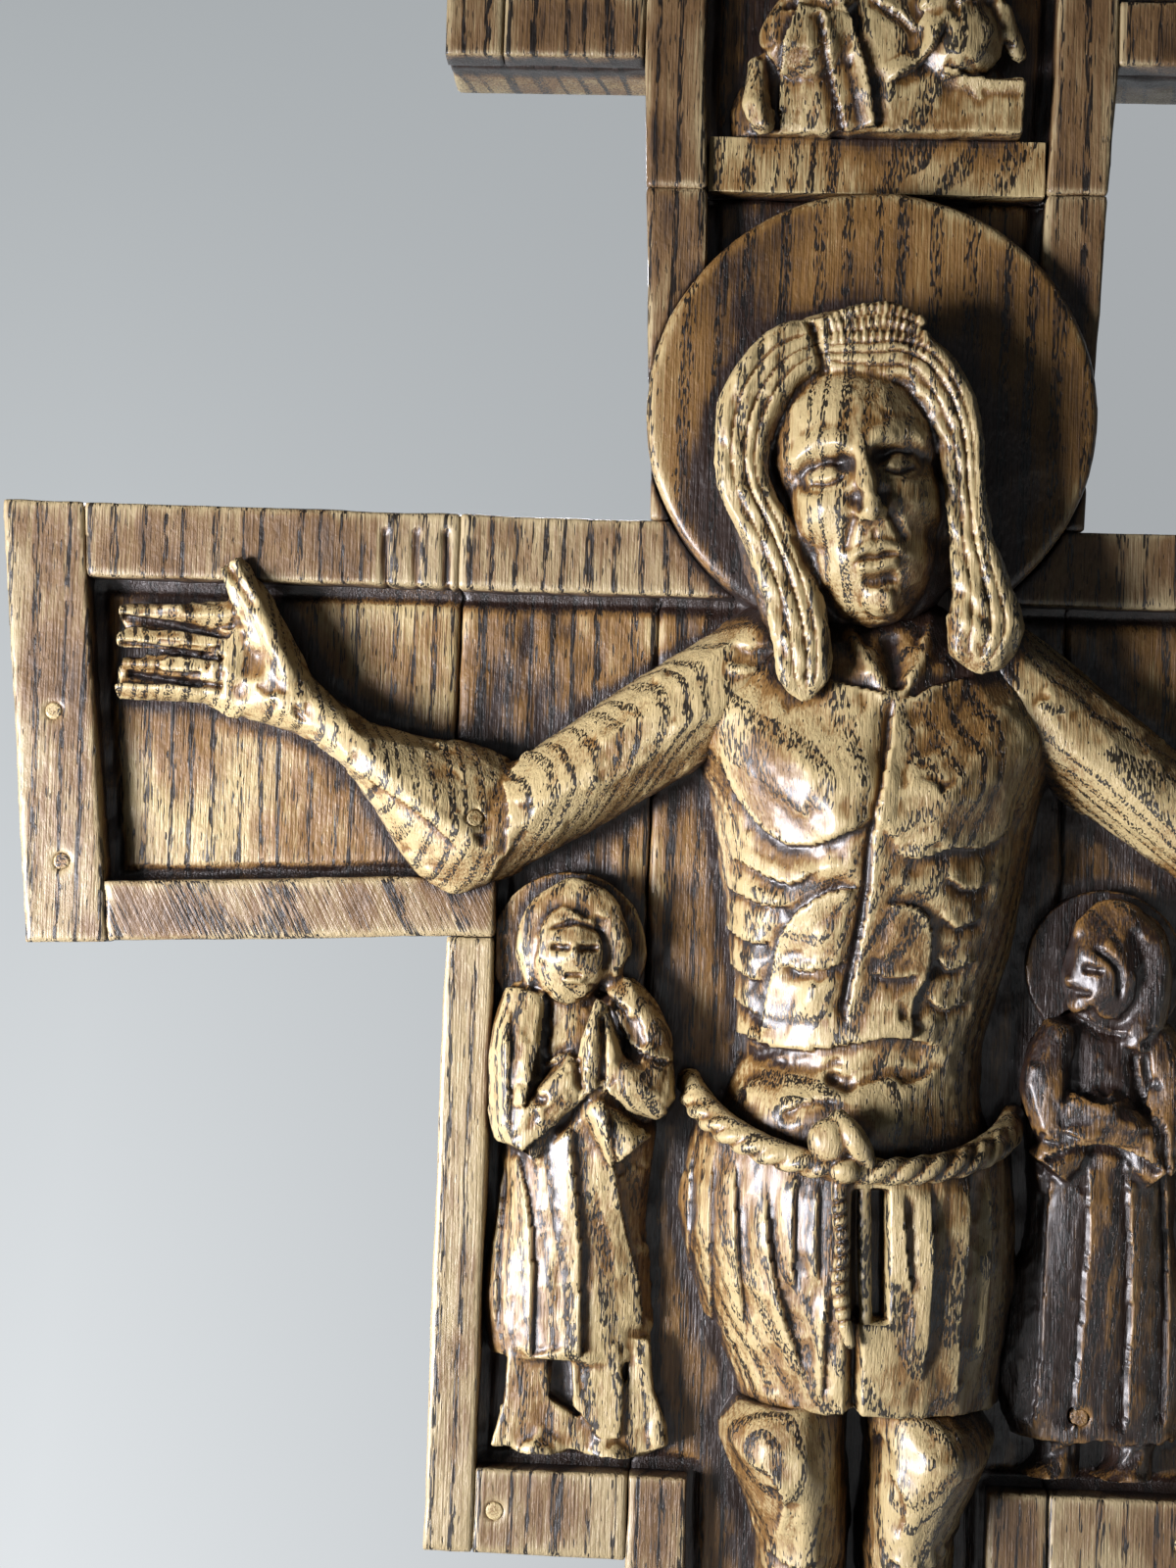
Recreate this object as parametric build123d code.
from build123d import *
import os

# A carved oak wall crucifix of the painted-cross outline: an upright with a neck, a long arm on each
# side, an apron under the arms and a short bar at the top. Vertical staves are glued edge to edge,
# face rails frame the sunk panels, and the carved figures sit on the staves.
# Millimetres. X runs to the viewer's right, Z up, and the face looks along -Y. The origin is on the
# back of the upright, at mid height of the arms.

# Halo behind the head
ARM_TOP = 45.5  # height of the arm's upper edge at the neck
HALO_RADIUS = 45.6
HALO_RISE = 22.0  # that edge to the halo's centre
HALO_HEIGHT = ARM_TOP + HALO_RISE
HALO_PROUD = 5.0  # how far the halo stands in front of the rails
HALO_EASE = 1.2
HALO_CLEAR = 1.4  # halo's upper rim to the joint above it

# Boards
BOARD = 18.0  # thickness of every stave
UPRIGHT_HALF = 42.0  # half width of the upright at its glue edges
NECK_HALF_LOW = 44.0  # half width of the neck where it meets the arms
NECK_HALF_HIGH = 48.5  # half width of the neck under the bar
FOOT = -310.0  # height of the lower end
SPLICE = HALO_HEIGHT + HALO_RADIUS + HALO_CLEAR  # height of the upright's joint with its top block
ARM_BOTTOM = -41.0  # height of the arm's lower edge at the apron
ARM_TOP_FLARE = 1.0  # rise of the arm's upper edge towards its end
ARM_BOTTOM_FLARE = 4.5  # fall of its lower edge
ARM_REACH = 179.0  # centre line to the arm's upper end corner
ARM_RAKE = 9.0  # how far the lower end corner stands back from the upper one
APRON_HALF = 83.0  # half width of the apron, where the outer staves begin
APRON_BOTTOM = -165.0  # height of the apron's lower edge
BAR_HALF = 90.0  # half length of the top bar
BAR_RISE = 27.0  # that joint to the bar's lower edge
BAR_TALL = 68.5
BAR_BOTTOM = SPLICE + BAR_RISE
TOP = BAR_BOTTOM + BAR_TALL  # height of the upper end

# Face rails
RAIL = 7.0  # how far the rails stand proud of the staves
RAIL_EASE = 0.4  # chamfer along the rails' front edges
NECK_RAIL = 12.5
ARM_TOP_RAIL = 15.5
ARM_BOTTOM_RAIL = 12.5
END_RAIL = 17.0
APRON_RAIL = 10.0
APRON_SILL = 17.0
SHAFT_RAIL = 12.0
BAR_RAIL = 13.5
BAR_END = 12.0
TOP_RAIL = 13.0
FOOT_RAIL = 14.0

# Corpus
CORPUS_X = 3.5  # the figure's own centre line, a little to the viewer's right
NECK_Z = 34.0
SHOULDER_Z = 21.0
CHEST_Z = -12.0
RIBS_Z = -36.0
WAIST_Z = -56.0
TORSO_END = -94.0
SHOULDER_HALF = 35.0
CHEST_HALF = 33.5
WAIST_HALF = 25.5
HIP_HALF = 29.5
CHEST_DEEP = 27.0
WAIST_DEEP = 20.0
HEAD_X = -2.0
HEAD_Z = 50.0
HEAD_HALF = 15.5
HEAD_DEEP = 15.0
HEAD_TALL = 27.0
HEAD_TILT = -10.0
FOREHEAD_RISE = 9.0  # centre of the forehead above the centre of the face
FOREHEAD_TALL = 17.0
HAIR_HALF = 23.5
HAIR_DEEP = 12.0
HAIR_TALL = 33.0
HAIR_RISE = 5.0  # centre of the hair above the centre of the face
LOCK_HALF = 6.0
LOCK_DEEP = 7.0
LEFT_LOCK = ((-21.0, 10.0), (-19.0, -9.0), (-13.0, -25.0), (-9.0, -37.0))  # from the head's centre
RIGHT_LOCK = ((20.0, 12.0), (22.0, -10.0), (25.5, -24.0), (24.0, -32.5))

# Arms of the corpus, measured from the cross's own centre line
ELBOW_X = 75.0
ELBOW_Z = -20.0
ELBOW_POINT = 6.0  # how far each half of the arm runs past the elbow
WRIST_X = 116.0
WRIST_Z = 6.0
KNUCKLE_X = 132.0
KNUCKLE_Z = 15.5
FINGER_LENGTH = 21.0
FINGER_HALF = 2.5
FINGER_PITCH = 5.3
FINGERS = 4
THUMB_REACH = 14.0
THUMB_RISE = 28.0
UPPER_ARM_HALF = 11.0
ELBOW_HALF = 9.0
FOREARM_HALF = 10.5
WRIST_HALF = 6.5
PALM_HALF = 10.5
ARM_DEEP = 10.5
ARM_LIFT = 5.0  # height of the arm's axis above the staves

# Loincloth, belt, legs and footrest
CLOTH_TOP = -62.0
CLOTH_HEM = -131.0
CLOTH_HALF = 33.0
CLOTH_DEEP = 25.0
HEM_HALF = 26.5
HEM_SHIFT = 2.0
BELT_SAG = 15.0  # fall of the belt from the hips to its middle
BELT_RISE_RIGHT = -5.0
BELT_RADIUS = 2.4
TAIL_LENGTH = 34.0
TAIL_HALF = 2.6
TAIL_DEEP = 3.2
KNOT_RADIUS = 5.0
KNOT_ASIDE = 3.0  # how far the knot sits to the left of the belt's middle
KNOT_RISE = 3.5  # and above it
LEG_SPREAD = 12.0  # leg axis from the corpus centre line at the hem
ANKLE_SPREAD = 8.6
KNEE_Z = -150.0
CALF_Z = -186.0
ANKLE_Z = -226.0
TOE_Z = -254.0
THIGH_HALF = 11.5
CALF_HALF = 9.5
ANKLE_HALF = 6.5
TOE_HALF = 7.5
LEG_DEEP = 19.0
FOOTREST_HALF = 23.0
FOOTREST_TALL = 13.0
FOOTREST_DEEP = 24.0

# Attendants on the apron
NICHE_MARGIN = 5.5  # room between the loincloth's side and an attendant's niche
NICHE_START = CLOTH_HALF + NICHE_MARGIN
NICHE_HALF = (APRON_HALF - APRON_RAIL - NICHE_START) / 2
NICHE_X = NICHE_START + NICHE_HALF
HEAD_SHARE = 0.515  # an attendant's head to its robe, in width
PLATE_SHARE = 0.97  # its halo's radius to the robe's half width
ATTENDANT_ROOM = 0.75  # room between a robe and its niche
ATTENDANT_X = {"left": -NICHE_X + 0.75, "right": NICHE_X - 4.25}
ATTENDANT_HEAD_X = {"left": ATTENDANT_X["left"] - 3.0, "right": ATTENDANT_X["right"] - 0.5}
ATTENDANT_HEM = {"left": -125.5, "right": -137.0}
ATTENDANT_HALF = NICHE_HALF - ATTENDANT_ROOM
ATTENDANT_FEET = -144.5
ATTENDANT_SLEEVE = 5.0
ATTENDANT_SHOULDER = -56.0
ATTENDANT_DEEP = 10.0
ATTENDANT_HEAD_Z = -43.0
ATTENDANT_HEAD_HALF = ATTENDANT_HALF * HEAD_SHARE
ATTENDANT_HEAD_TALL = 12.0
ATTENDANT_HALO = ATTENDANT_HALF * PLATE_SHARE
ATTENDANT_HALO_THICK = 4.0

# Seated figure in the top panel
LEDGE_TALL = 11.5
SEAT_Z = SPLICE + LEDGE_TALL
LEDGE_DEEP = 5.0
SEATED_HALF = 29.0
SEATED_DEEP = 11.0
SEATED_TALL = 43.0  # seat to shoulder
SEATED_NECK = 12.0  # shoulder to the middle of the head
SEATED_SHOULDER_Z = SEAT_Z + SEATED_TALL
SEATED_HEAD_Z = SEATED_SHOULDER_Z + SEATED_NECK
KNEE_HALF = 10.0
SEATED_HEAD_HALF = 7.5
SEATED_HEAD_TALL = 10.0
SEATED_HALO = 14.0
SEATED_HALO_THICK = 4.0

# Dowels, pegs and their fits
DOWEL_RADIUS = 3.0
DOWEL_LENGTH = 24.0
FIGURE_DOWEL_RADIUS = 2.5
FIGURE_DOWEL_BITE = 8.0  # length of a figure's dowel in the stave and in the figure
PEG_RADIUS = 1.6
PEG_BITE = 8.0  # length of a peg in the stave
ELBOW_PEG = 6.0  # the joint beside the inner stave to an elbow's peg
END_PEGS = (2.5, -28.5)  # heights of the pegs in an arm's end rail
GLUE_GAP = 0.05  # radial room for glue round dowels and pegs

# Hanger on the back
HANGER_RISE = 18.5  # the bar's lower edge to the ring's pivot
HANGER_Z = BAR_BOTTOM + HANGER_RISE
WIRE_RADIUS = 1.0
RING_HALF = 9.0  # half width of the ring on the wire's axis
RING_DROP = 11.0  # pivot to the far side of the ring on the wire's axis
PIVOT_GAP = 0.08  # radial room of the wire in the rolled eye
STRAP_THICK = 1.2
STRAP_HALF = 5.0
STRAP_LENGTH = 22.0
RING_OVER_STRAP = 0.4  # room between the raised ring and the strap
POCKET_DEEP = 5.5
POCKET_MARGIN = 2.0
SCREW_RADIUS = 1.5
SCREW_LENGTH = 10.0
SCREW_HEAD_RADIUS = 2.8
SCREW_HEAD_THICK = 1.6
SCREW_PLACE = 17.0  # pivot to the screw

# Planes that follow from the sizes above
RIM = BOARD + RAIL  # front of the rails
HALO_FRONT = RIM + HALO_PROUD
ARM_END_TOP = ARM_TOP + ARM_TOP_FLARE
ARM_END_BOTTOM = ARM_BOTTOM - ARM_BOTTOM_FLARE
FAR = 1000.0  # larger than the object

parts = {}


def arm_top(x):
    """Height of the arm's upper edge at a distance x from the centre line."""
    return ARM_TOP + ARM_TOP_FLARE * (x - NECK_HALF_LOW) / (ARM_REACH - NECK_HALF_LOW)


def arm_bottom(x):
    """Height of the arm's lower edge at a distance x from the centre line."""
    return ARM_BOTTOM - ARM_BOTTOM_FLARE * (x - APRON_HALF) / (ARM_REACH - APRON_HALF)


def arm_end(z):
    """Distance of the raked arm end from the centre line at a height z."""
    return ARM_REACH - ARM_RAKE * (ARM_END_TOP - z) / (ARM_END_TOP - ARM_END_BOTTOM)


def neck_half(z):
    """Half width of the neck at a height z."""
    return NECK_HALF_LOW + (NECK_HALF_HIGH - NECK_HALF_LOW) * (z - ARM_TOP) / (BAR_BOTTOM - ARM_TOP)


def prism(points, back, front):
    """Solid over an outline of (x, z) points, between two distances in front of the wall."""
    outline = make_face(Polyline(*points, close=True))
    return extrude(Plane.XZ.offset(back) * outline, front - back)


def board(points):
    """Stave over an outline."""
    return prism(points, 0, BOARD)


def rail(points):
    """Face rail over an outline, with its front edges eased."""
    strip = prism(points, BOARD, RIM)
    front = strip.faces().sort_by(Axis.Y)[0]
    return chamfer(front.edges(), RAIL_EASE)


def flip(shape):
    """The same shape on the other side of the centre line."""
    return mirror(shape, about=Plane.YZ)


def add_pair(name, shape):
    """Keeps a shape drawn on the right, and its mirror on the left."""
    parts[name + "_right"] = shape
    parts[name + "_left"] = flip(shape)


def disc(x, z, radius, back, front):
    """Round plate facing the viewer."""
    return extrude(Plane.XZ.offset(back) * Pos(x, z) * Circle(radius), front - back)


def ellipsoid(x, front, z, half, deep, tall):
    """Egg-shaped mass whose centre lies a distance in front of the wall."""
    return Pos(x, -front, z) * scale(Sphere(1), by=(half, deep, tall))


def ahead_of(distance):
    """Everything further from the wall than a distance."""
    return Pos(0, -distance - FAR / 2, 0) * Box(FAR, FAR, FAR)


def relief(stations):
    """Half-round carving with a flat back on the staves, lofted through (z, x, half width, depth)."""
    sections = []
    for z, x, half, deep in stations:
        arc = EllipticalCenterArc((x, -BOARD), half, deep, start_angle=180, arc_size=180)
        outline = make_face([arc, Line((x + half, -BOARD), (x - half, -BOARD))])
        sections.append(Plane.XY.offset(z) * outline)
    return loft(sections)


def limb(stations, lift):
    """Round-sectioned limb along (x, z, half width, half depth), cut flat where it meets the staves."""
    sections = []
    last = len(stations) - 1
    for i, (x, z, half, deep) in enumerate(stations):
        before = stations[max(i - 1, 0)]
        after = stations[min(i + 1, last)]
        along = Vector(after[0] - before[0], 0, after[1] - before[1]).normalized()
        place = Plane((x, -BOARD - lift, z), x_dir=(-along.Z, 0, along.X), z_dir=along)
        sections.append(place * Ellipse(half, deep))
    return loft(sections) & ahead_of(BOARD)


def trim(shape, names):
    """Cuts the named pieces out of a shape, where they reach it."""
    room = shape.bounding_box()
    for name in names:
        other = parts[name].bounding_box()
        apart = [
            room.max.X <= other.min.X or room.min.X >= other.max.X,
            room.max.Y <= other.min.Y or room.min.Y >= other.max.Y,
            room.max.Z <= other.min.Z or room.min.Z >= other.max.Z,
        ]
        if not any(apart):
            shape -= parts[name]
    return shape


def largest(shape):
    """The biggest solid of a shape, without the chips that a cut can leave."""
    return Part() + shape.solids().sort_by(SortBy.VOLUME)[-1]


def build_staves():
    """Upright, its top block, and the staves of the arms, the apron and the bar."""
    splice_half = neck_half(SPLICE)
    right = [
        (UPRIGHT_HALF, FOOT),
        (UPRIGHT_HALF, ARM_TOP),
        (NECK_HALF_LOW, ARM_TOP),
        (splice_half, SPLICE),
    ]
    parts["upright_stave"] = board(right + [(-x, z) for x, z in reversed(right)])
    right = [
        (splice_half, SPLICE),
        (NECK_HALF_HIGH, BAR_BOTTOM),
        (UPRIGHT_HALF, BAR_BOTTOM),
        (UPRIGHT_HALF, TOP),
    ]
    parts["top_block"] = board(right + [(-x, z) for x, z in reversed(right)])
    add_pair(
        "inner_stave",
        board(
            [
                (UPRIGHT_HALF, APRON_BOTTOM),
                (APRON_HALF, APRON_BOTTOM),
                (APRON_HALF, arm_top(APRON_HALF)),
                (NECK_HALF_LOW, ARM_TOP),
                (UPRIGHT_HALF, ARM_TOP),
            ]
        ),
    )
    add_pair(
        "outer_stave",
        board(
            [
                (APRON_HALF, ARM_BOTTOM),
                (arm_end(ARM_END_BOTTOM), ARM_END_BOTTOM),
                (ARM_REACH, ARM_END_TOP),
                (APRON_HALF, arm_top(APRON_HALF)),
            ]
        ),
    )
    add_pair(
        "bar_stave",
        board([(UPRIGHT_HALF, BAR_BOTTOM), (BAR_HALF, BAR_BOTTOM), (BAR_HALF, TOP), (UPRIGHT_HALF, TOP)]),
    )


def build_arm_rails():
    """Strips that frame each arm's panel. The upper one is butted over the stave joint."""
    joint_top = arm_top(APRON_HALF)
    end_top = arm_top(ARM_REACH - END_RAIL)
    end_bottom = arm_bottom(ARM_REACH - END_RAIL)
    inner_edge_top = arm_end(end_top) - END_RAIL
    inner_edge_bottom = arm_end(end_bottom) - END_RAIL
    halo_gap = disc(0, HALO_HEIGHT, HALO_RADIUS, BOARD, HALO_FRONT)
    inner = rail(
        [
            (0, ARM_TOP),
            (NECK_HALF_LOW, ARM_TOP),
            (APRON_HALF, joint_top),
            (APRON_HALF, joint_top - ARM_TOP_RAIL),
            (NECK_HALF_LOW, ARM_TOP - ARM_TOP_RAIL),
            (0, ARM_TOP - ARM_TOP_RAIL),
        ]
    )
    add_pair("arm_top_rail_inner", largest(inner - halo_gap))
    add_pair(
        "arm_top_rail_outer",
        rail(
            [
                (APRON_HALF, joint_top - ARM_TOP_RAIL),
                (APRON_HALF, joint_top),
                (inner_edge_top, end_top),
                (arm_end(end_top - ARM_TOP_RAIL) - END_RAIL, end_top - ARM_TOP_RAIL),
            ]
        ),
    )
    add_pair(
        "arm_end_rail",
        rail(
            [
                (inner_edge_bottom, end_bottom),
                (arm_end(ARM_END_BOTTOM), ARM_END_BOTTOM),
                (ARM_REACH, ARM_END_TOP),
                (inner_edge_top, end_top),
            ]
        ),
    )
    add_pair(
        "arm_bottom_rail",
        rail(
            [
                (APRON_HALF - APRON_RAIL, ARM_BOTTOM),
                (APRON_HALF, ARM_BOTTOM),
                (inner_edge_bottom, end_bottom),
                (arm_end(end_bottom + ARM_BOTTOM_RAIL) - END_RAIL, end_bottom + ARM_BOTTOM_RAIL),
                (APRON_HALF - APRON_RAIL, ARM_BOTTOM + ARM_BOTTOM_RAIL),
            ]
        ),
    )


def build_upright_rails():
    """Strips along the neck, the apron, the shaft, the bar and both ends of the upright."""
    halo_gap = disc(0, HALO_HEIGHT, HALO_RADIUS, BOARD, HALO_FRONT)

    def neck_strip(low, high):
        """Neck rail between two heights."""
        return rail(
            [
                (neck_half(low) - NECK_RAIL, low),
                (neck_half(low), low),
                (neck_half(high), high),
                (neck_half(high) - NECK_RAIL, high),
            ]
        )

    under_top = TOP - TOP_RAIL
    inner_high = NECK_HALF_HIGH - NECK_RAIL
    add_pair("neck_corner", largest(neck_strip(ARM_TOP, HALO_HEIGHT) - halo_gap))
    add_pair("neck_rail_lower", largest(neck_strip(HALO_HEIGHT, SPLICE) - halo_gap))
    add_pair(
        "neck_rail_upper",
        rail(
            [
                (neck_half(SPLICE) - NECK_RAIL, SPLICE),
                (neck_half(SPLICE), SPLICE),
                (NECK_HALF_HIGH, BAR_BOTTOM),
                (NECK_HALF_HIGH, under_top),
                (inner_high, under_top),
                (inner_high, BAR_BOTTOM),
            ]
        ),
    )
    sill_top = APRON_BOTTOM + APRON_SILL
    apron_inner = APRON_HALF - APRON_RAIL
    shaft_inner = UPRIGHT_HALF - SHAFT_RAIL
    bar_inner = BAR_HALF - BAR_END

    def strip(x0, x1, z0, z1):
        """Upright or level rail between two sides and two heights."""
        return rail([(x0, z0), (x1, z0), (x1, z1), (x0, z1)])

    add_pair("apron_side_rail", strip(apron_inner, APRON_HALF, APRON_BOTTOM, ARM_BOTTOM))
    add_pair("apron_bottom_rail", strip(UPRIGHT_HALF, apron_inner, APRON_BOTTOM, sill_top))
    add_pair("shaft_rail", strip(shaft_inner, UPRIGHT_HALF, FOOT, sill_top))
    parts["foot_rail"] = strip(-shaft_inner, shaft_inner, FOOT, FOOT + FOOT_RAIL)
    add_pair("bar_bottom_rail", strip(NECK_HALF_HIGH, bar_inner, BAR_BOTTOM, BAR_BOTTOM + BAR_RAIL))
    add_pair("bar_end_rail", strip(bar_inner, BAR_HALF, BAR_BOTTOM, under_top))
    parts["top_rail"] = strip(-BAR_HALF, BAR_HALF, under_top, TOP)


def build_halo():
    """Disc behind the head, let in between the neck rails."""
    plate = disc(0, HALO_HEIGHT, HALO_RADIUS, BOARD, HALO_FRONT)
    front = plate.faces().sort_by(Axis.Y)[0]
    parts["halo"] = chamfer(front.edges(), HALO_EASE)


def torso_form():
    """Neck, chest, waist and the hips that the loincloth wraps."""
    return relief(
        [
            (NECK_Z, CORPUS_X, HEAD_HALF * 0.7, CHEST_DEEP * 0.6),
            (SHOULDER_Z + 5, CORPUS_X, SHOULDER_HALF * 0.68, CHEST_DEEP * 0.64),
            (SHOULDER_Z - 4, CORPUS_X, SHOULDER_HALF, CHEST_DEEP * 0.8),
            (CHEST_Z, CORPUS_X, CHEST_HALF, CHEST_DEEP),
            (RIBS_Z, CORPUS_X, (CHEST_HALF + WAIST_HALF) / 2, (CHEST_DEEP + WAIST_DEEP) / 2),
            (WAIST_Z, CORPUS_X - 1, WAIST_HALF, WAIST_DEEP),
            (CLOTH_TOP - 14, CORPUS_X - 3, HIP_HALF * 0.95, WAIST_DEEP),
            (TORSO_END, CORPUS_X - 3, HIP_HALF * 0.8, WAIST_DEEP * 0.8),
        ]
    )


def head_form():
    """Face, cap of hair and the two locks that fall to the shoulders, in front of the halo."""
    face = ellipsoid(HEAD_X, HALO_FRONT + HEAD_DEEP / 2, HEAD_Z, HEAD_HALF, HEAD_DEEP, HEAD_TALL)
    hair = ellipsoid(HEAD_X, HALO_FRONT + HAIR_DEEP / 4, HEAD_Z + HAIR_RISE, HAIR_HALF, HAIR_DEEP, HAIR_TALL)
    high = HEAD_Z + FOREHEAD_RISE
    face += ellipsoid(HEAD_X, HALO_FRONT + HEAD_DEEP / 3, high, HEAD_HALF, HEAD_DEEP, FOREHEAD_TALL)
    shape = Pos(HEAD_X, 0, HEAD_Z) * Rot(0, HEAD_TILT, 0) * Pos(-HEAD_X, 0, -HEAD_Z) * (face + hair)
    for lock in (LEFT_LOCK, RIGHT_LOCK):
        last = len(lock) - 1
        stations = []
        for i, (x, z) in enumerate(lock):
            thin = 1 - 0.4 * abs(2 * i / last - 1)
            stations.append((HEAD_X + x, HEAD_Z + z, LOCK_HALF * thin, LOCK_DEEP * thin))
        shape += limb(stations, HALO_FRONT - BOARD + LOCK_DEEP / 2)
    return shape & ahead_of(HALO_FRONT)


def between(start, end, share):
    """Point on the line from one (x, z) point to another, at a share of its length."""
    return start[0] + (end[0] - start[0]) * share, start[1] + (end[1] - start[1]) * share


def arm_form(shoulder_x):
    """One arm, on the right: down to the elbow, up to the wrist, and an open hand."""
    shoulder = (shoulder_x, SHOULDER_Z + 2)
    elbow = (ELBOW_X, ELBOW_Z)
    wrist = (WRIST_X, WRIST_Z)
    knuckles = (KNUCKLE_X, KNUCKLE_Z)
    past = 1 + ELBOW_POINT / (Vector(*elbow) - Vector(*shoulder)).length
    upper = limb(
        [
            (*shoulder, UPPER_ARM_HALF, ARM_DEEP + 2),
            (*between(shoulder, elbow, 0.5), UPPER_ARM_HALF, ARM_DEEP + 1),
            (*between(shoulder, elbow, past), ELBOW_HALF, ARM_DEEP * 0.9),
        ],
        ARM_LIFT,
    )
    before = -ELBOW_POINT / (Vector(*wrist) - Vector(*elbow)).length
    lower = limb(
        [
            (*between(elbow, wrist, before), ELBOW_HALF, ARM_DEEP * 0.9),
            (*between(elbow, wrist, 0.4), FOREARM_HALF, ARM_DEEP),
            (*wrist, WRIST_HALF, ARM_DEEP * 0.75),
            (*between(wrist, knuckles, 0.5), PALM_HALF * 0.9, ARM_DEEP * 0.6),
            (*knuckles, PALM_HALF, ARM_DEEP * 0.5),
        ],
        ARM_LIFT,
    )
    arm = upper + lower
    for i in range(FINGERS):
        z = KNUCKLE_Z + (i - (FINGERS - 1) / 2) * FINGER_PITCH
        arm += limb(
            [
                (KNUCKLE_X - FINGER_HALF, z, FINGER_HALF, ARM_DEEP * 0.4),
                (KNUCKLE_X + FINGER_LENGTH, z, FINGER_HALF * 0.85, ARM_DEEP * 0.3),
            ],
            ARM_LIFT,
        )
    tip = (WRIST_X + THUMB_REACH, WRIST_Z + THUMB_RISE)
    thumb = limb(
        [
            (*wrist, WRIST_HALF * 0.8, ARM_DEEP * 0.5),
            (*between(wrist, tip, 0.45), WRIST_HALF * 0.75, ARM_DEEP * 0.45),
            (*tip, WRIST_HALF * 0.4, ARM_DEEP * 0.3),
        ],
        RAIL,
    )
    return arm + thumb


def belt_line():
    """Arc of the belt across the hips, sagging in front."""
    left = (CORPUS_X - 3 - CLOTH_HALF, -BOARD - 3, CLOTH_TOP - 6)
    right = (CORPUS_X - 3 + CLOTH_HALF, -BOARD - 3, CLOTH_TOP - 6 + BELT_RISE_RIGHT)
    middle = (CORPUS_X - 3, -BOARD - CLOTH_DEEP, CLOTH_TOP - 6 - BELT_SAG)
    return ThreePointArc(left, middle, right)


def cloth_form(torso):
    """Kilt-like loincloth, open at the top to the belt's line and hollow where the hips fill it."""
    cloth = relief(
        [
            (CLOTH_TOP, CORPUS_X - 3, CLOTH_HALF * 0.94, CLOTH_DEEP * 0.9),
            (CLOTH_TOP - 22, CORPUS_X - 3, CLOTH_HALF, CLOTH_DEEP),
            ((CLOTH_TOP + CLOTH_HEM) / 2 - 8, CORPUS_X - 2, CLOTH_HALF, CLOTH_DEEP),
            (CLOTH_HEM + 14, CORPUS_X, (CLOTH_HALF + HEM_HALF) / 2, CLOTH_DEEP * 0.96),
            (CLOTH_HEM, CORPUS_X + HEM_SHIFT, HEM_HALF, CLOTH_DEEP * 0.88),
        ]
    )
    line = belt_line()
    start, middle, end = line @ 0, line @ 0.5, line @ 1
    flat = ThreePointArc((start.X - 5, start.Z), (middle.X, middle.Z), (end.X + 5, end.Z))
    low = CLOTH_HEM - 1
    below = make_face(
        [
            flat,
            Line((end.X + 5, end.Z), (end.X + 5, low)),
            Line((end.X + 5, low), (start.X - 5, low)),
            Line((start.X - 5, low), (start.X - 5, start.Z)),
        ]
    )
    return (cloth & extrude(Plane.XZ * below, FAR)) - torso


def leg_form(side):
    """One leg from the hem to the toes, on the side given by its sign."""
    axis = CORPUS_X + HEM_SHIFT - 2
    top = axis + side * LEG_SPREAD
    ankle = axis + side * ANKLE_SPREAD
    calf = (top + ankle) / 2
    return relief(
        [
            (CLOTH_HEM, top, THIGH_HALF, LEG_DEEP),
            (KNEE_Z, top, THIGH_HALF * 0.97, LEG_DEEP * 1.08),
            (KNEE_Z - 14, calf, CALF_HALF, LEG_DEEP * 0.9),
            (CALF_Z, calf, CALF_HALF, LEG_DEEP * 0.86),
            ((CALF_Z + ANKLE_Z) / 2, ankle, (CALF_HALF + ANKLE_HALF) / 2, LEG_DEEP * 0.72),
            (ANKLE_Z, ankle, ANKLE_HALF, LEG_DEEP * 0.68),
            ((ANKLE_Z + TOE_Z) / 2, ankle, TOE_HALF, LEG_DEEP * 0.95),
            (TOE_Z, ankle, TOE_HALF, LEG_DEEP * 1.02),
        ]
    )


def build_corpus():
    """The carved body: head, torso, arms, loincloth, belt, legs and footrest."""
    torso = torso_form() - parts["halo"]
    torso = largest(trim(torso, ["arm_top_rail_inner_left", "arm_top_rail_inner_right"]))
    parts["corpus_torso"] = torso
    parts["corpus_head"] = largest(head_form() - torso)
    rails = [name for name in parts if "rail" in name]
    for side, sign in (("right", 1), ("left", -1)):
        arm = arm_form(SHOULDER_HALF * 0.4 + sign * CORPUS_X)
        arm = arm if sign > 0 else flip(arm)
        parts["corpus_arm_" + side] = largest(trim(arm, ["halo", "corpus_head", "corpus_torso", *rails]))
    cloth = largest(cloth_form(torso))
    parts["loincloth"] = cloth
    line = belt_line()
    rope = sweep(Plane(origin=line @ 0, z_dir=line % 0) * Circle(BELT_RADIUS), path=line)
    rope = largest((rope & ahead_of(BOARD)) - torso - cloth)
    parts["rope_belt"] = rope
    middle = line @ 0.5
    knot = Pos(middle.X - KNOT_ASIDE, middle.Y - BELT_RADIUS, middle.Z + KNOT_RISE) * Sphere(KNOT_RADIUS)
    tail = Pos(middle.X - KNOT_ASIDE / 2, middle.Y, middle.Z - TAIL_LENGTH / 2) * Box(
        TAIL_HALF * 2, TAIL_DEEP * 2, TAIL_LENGTH
    )
    parts["belt_tail"] = largest(knot + tail - torso - cloth - rope)
    for side, sign in (("right", 1), ("left", -1)):
        parts["corpus_leg_" + side] = leg_form(sign)
    rest = [
        (-BOARD, TOE_Z),
        (-BOARD - FOOTREST_DEEP, TOE_Z),
        (-BOARD - FOOTREST_DEEP, TOE_Z - FOOTREST_TALL * 0.6),
        (-BOARD, TOE_Z - FOOTREST_TALL),
    ]
    profile = make_face(Polyline(*rest, close=True))
    block = extrude(Plane.YZ.offset(CORPUS_X - FOOTREST_HALF) * profile, FOOTREST_HALF * 2)
    parts["footrest"] = block


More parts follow.
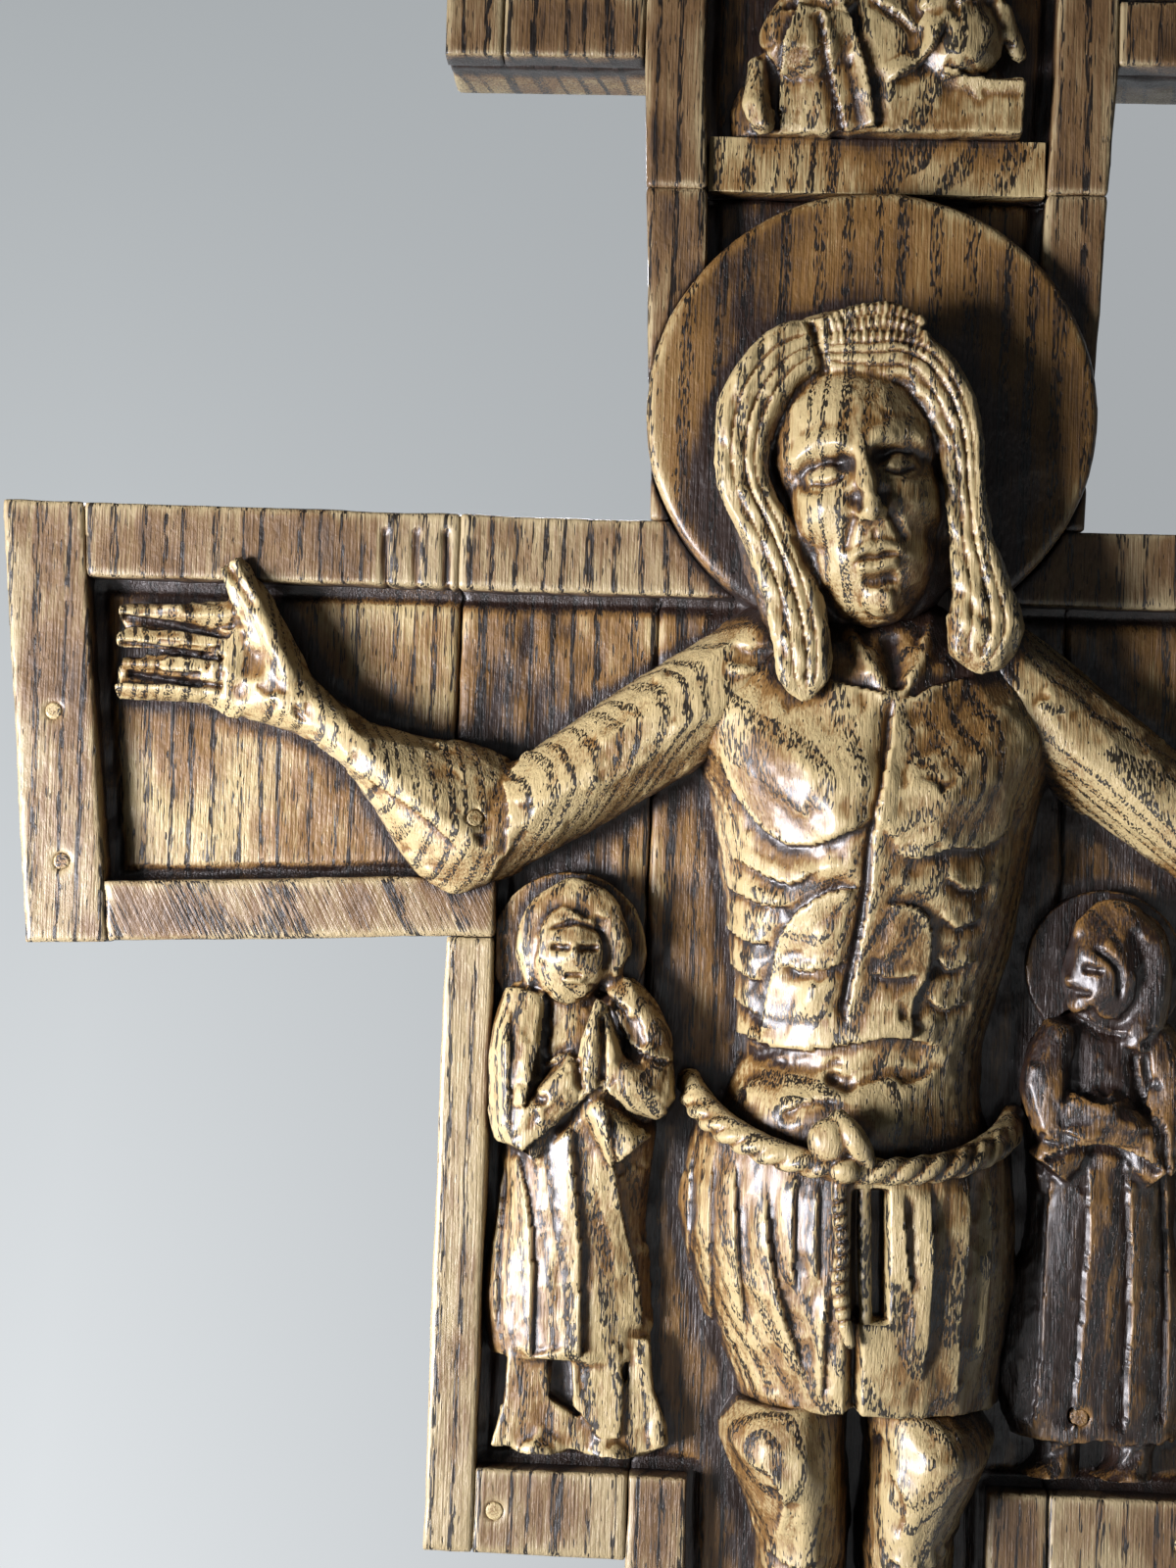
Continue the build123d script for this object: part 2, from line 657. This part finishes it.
def attendant_form(side, sign):
    """Standing robed attendant: robe, feet, folded sleeves and a head in front of its halo."""
    x = ATTENDANT_X[side]
    hem = ATTENDANT_HEM[side]
    head_x = ATTENDANT_HEAD_X[side]
    robe = relief(
        [
            (hem, x, ATTENDANT_HALF, ATTENDANT_DEEP * 0.9),
            ((hem + ATTENDANT_SHOULDER) / 2, x, ATTENDANT_HALF * 0.92, ATTENDANT_DEEP),
            (ATTENDANT_SHOULDER - 10, x, ATTENDANT_HALF, ATTENDANT_DEEP),
            (ATTENDANT_SHOULDER, (x + head_x) / 2, ATTENDANT_HALF * 0.8, ATTENDANT_DEEP * 0.9),
            (ATTENDANT_SHOULDER + 5, head_x, ATTENDANT_HEAD_HALF * 0.8, ATTENDANT_DEEP * 0.8),
        ]
    )
    for foot in (-1, 1):
        step = x + foot * ATTENDANT_HALF * 0.45
        robe += relief(
            [
                (ATTENDANT_FEET, step - sign * 2, ATTENDANT_HALF * 0.4, ATTENDANT_DEEP * 0.9),
                (ATTENDANT_FEET + 4, step, ATTENDANT_HALF * 0.28, ATTENDANT_DEEP * 0.7),
                (hem, step, ATTENDANT_HALF * 0.33, ATTENDANT_DEEP * 0.7),
            ]
        )
    robe += ellipsoid(
        head_x,
        BOARD + ATTENDANT_HALO_THICK + 2,
        ATTENDANT_HEAD_Z,
        ATTENDANT_HEAD_HALF,
        ATTENDANT_DEEP * 0.75,
        ATTENDANT_HEAD_TALL,
    )
    hands = (x - 1, ATTENDANT_SHOULDER - 12)
    for turn in (-1, 1):
        elbow = (x + turn * (ATTENDANT_HALF - ATTENDANT_SLEEVE), ATTENDANT_SHOULDER - 27)
        robe += limb(
            [
                (*elbow, ATTENDANT_SLEEVE, ATTENDANT_SLEEVE),
                (*between(elbow, hands, 0.5), ATTENDANT_SLEEVE * 0.9, ATTENDANT_SLEEVE),
                (*hands, ATTENDANT_SLEEVE * 0.6, ATTENDANT_SLEEVE * 0.8),
            ],
            ATTENDANT_DEEP * 0.8,
        )
    return robe & ahead_of(BOARD)


def build_attendants():
    """Two attendants under the arms, each with a halo plate."""
    body = ["corpus_torso", "loincloth", "rope_belt"]
    for side, sign in (("right", 1), ("left", -1)):
        head_x = ATTENDANT_HEAD_X[side]
        plate = disc(head_x, ATTENDANT_HEAD_Z, ATTENDANT_HALO, BOARD, BOARD + ATTENDANT_HALO_THICK)
        frame = [name + side for name in ("arm_bottom_rail_", "apron_side_rail_", "apron_bottom_rail_")]
        near = ["corpus_arm_" + side, *body, *frame]
        figure = attendant_form(side, sign)
        parts["attendant_" + side] = largest(trim(figure, near))
        parts["attendant_halo_" + side] = largest(trim(plate - figure, near))


def build_top_figure():
    """Seated robed figure over its ledge in the top panel."""
    ledge_half = neck_half(SPLICE) - NECK_RAIL
    ledge = prism(
        [(-ledge_half, SPLICE), (ledge_half, SPLICE), (ledge_half, SEAT_Z), (-ledge_half, SEAT_Z)],
        BOARD,
        BOARD + LEDGE_DEEP,
    )
    parts["seat_ledge"] = ledge
    figure = relief(
        [
            (SEAT_Z, 0, SEATED_HALF, SEATED_DEEP * 0.9),
            (SEAT_Z + 12, 0, SEATED_HALF * 0.96, SEATED_DEEP),
            ((SEAT_Z + SEATED_SHOULDER_Z) / 2, 0, SEATED_HALF * 0.78, SEATED_DEEP),
            (SEATED_SHOULDER_Z - 5, 0, SEATED_HALF * 0.62, SEATED_DEEP * 0.9),
            (SEATED_SHOULDER_Z + 3, 0, SEATED_HEAD_HALF * 0.7, SEATED_DEEP * 0.8),
        ]
    )
    figure += ellipsoid(
        0,
        BOARD + SEATED_HALO_THICK + 2,
        SEATED_HEAD_Z,
        SEATED_HEAD_HALF,
        SEATED_DEEP * 0.65,
        SEATED_HEAD_TALL,
    )
    for knee in (-1, 1):
        x = knee * SEATED_HALF / 2
        figure += ellipsoid(x, BOARD + SEATED_DEEP * 0.6, SEAT_Z + KNEE_HALF * 2, KNEE_HALF, KNEE_HALF * 0.7, KNEE_HALF)
    figure = figure & ahead_of(BOARD)
    plate = disc(0, SEATED_HEAD_Z, SEATED_HALO, BOARD, BOARD + SEATED_HALO_THICK)
    plate = plate - figure - parts["top_rail"]
    parts["top_figure"] = largest(figure - parts["top_rail"])
    parts["top_figure_halo"] = largest(plate)


def rod(start, direction, radius, length):
    """Round pin from a point, along a direction."""
    return extrude(Plane(start, z_dir=direction) * Circle(radius), length)


def drill(names, start, direction, radius, length):
    """Bores a pin's hole through the named pieces."""
    hole = rod(start, direction, radius + GLUE_GAP, length)
    for name in names:
        parts[name] = parts[name] - hole


def build_dowels():
    """Hidden dowels across the stave joints and behind the carvings."""
    level = -BOARD / 2
    joints = []
    for side, sign in (("right", 1), ("left", -1)):
        arm_pitch = (ARM_TOP - ARM_BOTTOM) / 4
        for z in (ARM_TOP - arm_pitch, ARM_BOTTOM - arm_pitch, APRON_BOTTOM + APRON_SILL):
            joints.append((sign * UPRIGHT_HALF, z, sign, ["upright_stave", "inner_stave_" + side]))
        for z in (ARM_TOP - arm_pitch, ARM_BOTTOM + ARM_BOTTOM_RAIL / 2):
            joints.append((sign * APRON_HALF, z, sign, ["inner_stave_" + side, "outer_stave_" + side]))
        bar_pitch = (TOP - BAR_BOTTOM) / 4
        for z in (BAR_BOTTOM + bar_pitch, TOP - bar_pitch):
            joints.append((sign * UPRIGHT_HALF, z, sign, ["top_block", "bar_stave_" + side]))
    dowels = Part()
    for x, z, sign, names in joints:
        start = (x - sign * DOWEL_LENGTH / 2, level, z)
        dowels += rod(start, (sign, 0, 0), DOWEL_RADIUS, DOWEL_LENGTH)
        drill(names, start, (sign, 0, 0), DOWEL_RADIUS, DOWEL_LENGTH)
    for sign in (-1, 1):
        start = (sign * UPRIGHT_HALF / 2, level, SPLICE - DOWEL_LENGTH / 2)
        dowels += rod(start, (0, 0, 1), DOWEL_RADIUS, DOWEL_LENGTH)
        drill(["upright_stave", "top_block"], start, (0, 0, 1), DOWEL_RADIUS, DOWEL_LENGTH)
    parts["stave_dowels"] = dowels


def build_figure_dowels():
    """Dowels that hold each carving to the stave behind it."""
    places = [
        ("corpus_torso", "upright_stave", CORPUS_X, CHEST_Z),
        ("corpus_torso", "upright_stave", CORPUS_X, WAIST_Z),
        ("loincloth", "upright_stave", CORPUS_X, (TORSO_END + CLOTH_HEM) / 2),
        ("halo", "upright_stave", 0, HALO_HEIGHT),
        ("top_figure", "top_block", 0, (SEAT_Z + SEATED_SHOULDER_Z) / 2),
        ("footrest", "upright_stave", CORPUS_X, TOE_Z - FOOTREST_TALL / 2),
    ]
    leg_x = CORPUS_X + HEM_SHIFT - 2
    for side, sign in (("right", 1), ("left", -1)):
        z = (ATTENDANT_HEM[side] + ATTENDANT_SHOULDER) / 2
        places.append(("attendant_" + side, "inner_stave_" + side, ATTENDANT_X[side] + sign * 4, z))
        leg = leg_x + sign * (LEG_SPREAD + ANKLE_SPREAD) / 2
        places.append(("corpus_leg_" + side, "upright_stave", leg, KNEE_Z))
    dowels = Part()
    for piece, stave, x, z in places:
        start = (x, FIGURE_DOWEL_BITE - BOARD, z)
        length = FIGURE_DOWEL_BITE * 2
        radius = FIGURE_DOWEL_RADIUS
        if piece == "footrest":
            radius = min(radius, FOOTREST_TALL / 4)
        dowels += rod(start, (0, -1, 0), radius, length)
        drill([piece, stave], start, (0, -1, 0), radius, length)
    head = (HEAD_X, FIGURE_DOWEL_BITE - HALO_FRONT, HEAD_Z)
    dowels += rod(head, (0, -1, 0), FIGURE_DOWEL_RADIUS, FIGURE_DOWEL_BITE * 2)
    drill(["halo", "corpus_head"], head, (0, -1, 0), FIGURE_DOWEL_RADIUS, FIGURE_DOWEL_BITE * 2)
    parts["figure_dowels"] = dowels


def build_pegs():
    """Round pegs, flush with the face, through the end rails, the apron's corners and the arms."""
    pegs = Part()
    start_depth = PEG_BITE - BOARD
    for side, sign in (("right", 1), ("left", -1)):
        places = []
        for z in END_PEGS:
            places.append((arm_end(z) - END_RAIL / 2, z, "arm_end_rail_" + side, "outer_stave_" + side))
        places.append(
            (
                APRON_HALF - APRON_RAIL - APRON_SILL / 4,
                APRON_BOTTOM + APRON_SILL / 2,
                "apron_bottom_rail_" + side,
                "inner_stave_" + side,
            )
        )
        places.append((APRON_HALF - ELBOW_PEG, ELBOW_Z + 3, "corpus_arm_" + side, "inner_stave_" + side))
        if side == "right":
            places.append(
                (
                    ATTENDANT_X[side] - ATTENDANT_HALF / 4,
                    ATTENDANT_HEM[side] + ATTENDANT_DEEP / 2,
                    "attendant_right",
                    "inner_stave_right",
                )
            )
        for x, z, piece, stave in places:
            start = (sign * x, start_depth, z)
            blank = rod(start, (0, -1, 0), PEG_RADIUS, FAR)
            root = rod(start, (0, -1, 0), PEG_RADIUS, PEG_BITE)
            pegs += root + (blank & parts[piece])
            drill([piece, stave], start, (0, -1, 0), PEG_RADIUS, FAR)
    parts["pegs"] = pegs


def build_hanger():
    """Hinged ring on a folded strap, in a pocket that leaves the back flat on the wall."""
    eye_bore = WIRE_RADIUS + PIVOT_GAP
    eye_outer = eye_bore + STRAP_THICK
    floor = -POCKET_DEEP
    pivot_y = floor + STRAP_THICK + RING_OVER_STRAP + WIRE_RADIUS
    reach = RING_DROP + WIRE_RADIUS
    half = RING_HALF + WIRE_RADIUS + POCKET_MARGIN
    low = HANGER_Z - reach - POCKET_MARGIN
    high = HANGER_Z + STRAP_LENGTH + POCKET_MARGIN
    pocket = prism([(-half, low), (half, low), (half, high), (-half, high)], 0, POCKET_DEEP)
    parts["top_block"] = parts["top_block"] - pocket
    plate = Pos(0, floor + STRAP_THICK / 2, HANGER_Z + STRAP_LENGTH / 2) * Box(
        STRAP_HALF * 2, STRAP_THICK, STRAP_LENGTH
    )
    eye_start = (-STRAP_HALF, pivot_y, HANGER_Z)
    eye = rod(eye_start, (1, 0, 0), eye_outer, STRAP_HALF * 2)
    bore = rod(eye_start, (1, 0, 0), eye_bore, STRAP_HALF * 2)
    below_floor = Pos(0, floor - FAR / 2, HANGER_Z) * Box(FAR, FAR, FAR)
    parts["hanger_strap"] = plate + eye - bore - below_floor
    corner = RING_HALF * 0.35
    wire = FilletPolyline(
        (0, pivot_y, HANGER_Z),
        (RING_HALF, pivot_y, HANGER_Z),
        (RING_HALF, pivot_y, HANGER_Z - RING_DROP),
        (0, pivot_y, HANGER_Z - RING_DROP),
        radius=[corner, RING_HALF * 0.9],
    )
    half_ring = sweep(Plane(origin=wire @ 0, z_dir=wire % 0) * Circle(WIRE_RADIUS), path=wire)
    parts["hanger_ring"] = half_ring + flip(half_ring)
    screw_start = (0, floor + STRAP_THICK, HANGER_Z + SCREW_PLACE)
    head = rod(screw_start, (0, 1, 0), SCREW_HEAD_RADIUS, SCREW_HEAD_THICK)
    shank = rod(screw_start, (0, -1, 0), SCREW_RADIUS, SCREW_LENGTH)
    parts["hanger_screw"] = head + shank
    drill(["hanger_strap", "top_block"], screw_start, (0, -1, 0), SCREW_RADIUS, SCREW_LENGTH)


def main():
    """Builds every piece and writes one file for each."""
    build_staves()
    build_arm_rails()
    build_upright_rails()
    build_halo()
    build_corpus()
    build_attendants()
    build_top_figure()
    build_dowels()
    build_figure_dowels()
    build_pegs()
    build_hanger()
    os.makedirs("parts", exist_ok=True)
    for name, shape in parts.items():
        export_step(shape, os.path.join("parts", name + ".step"))


main()
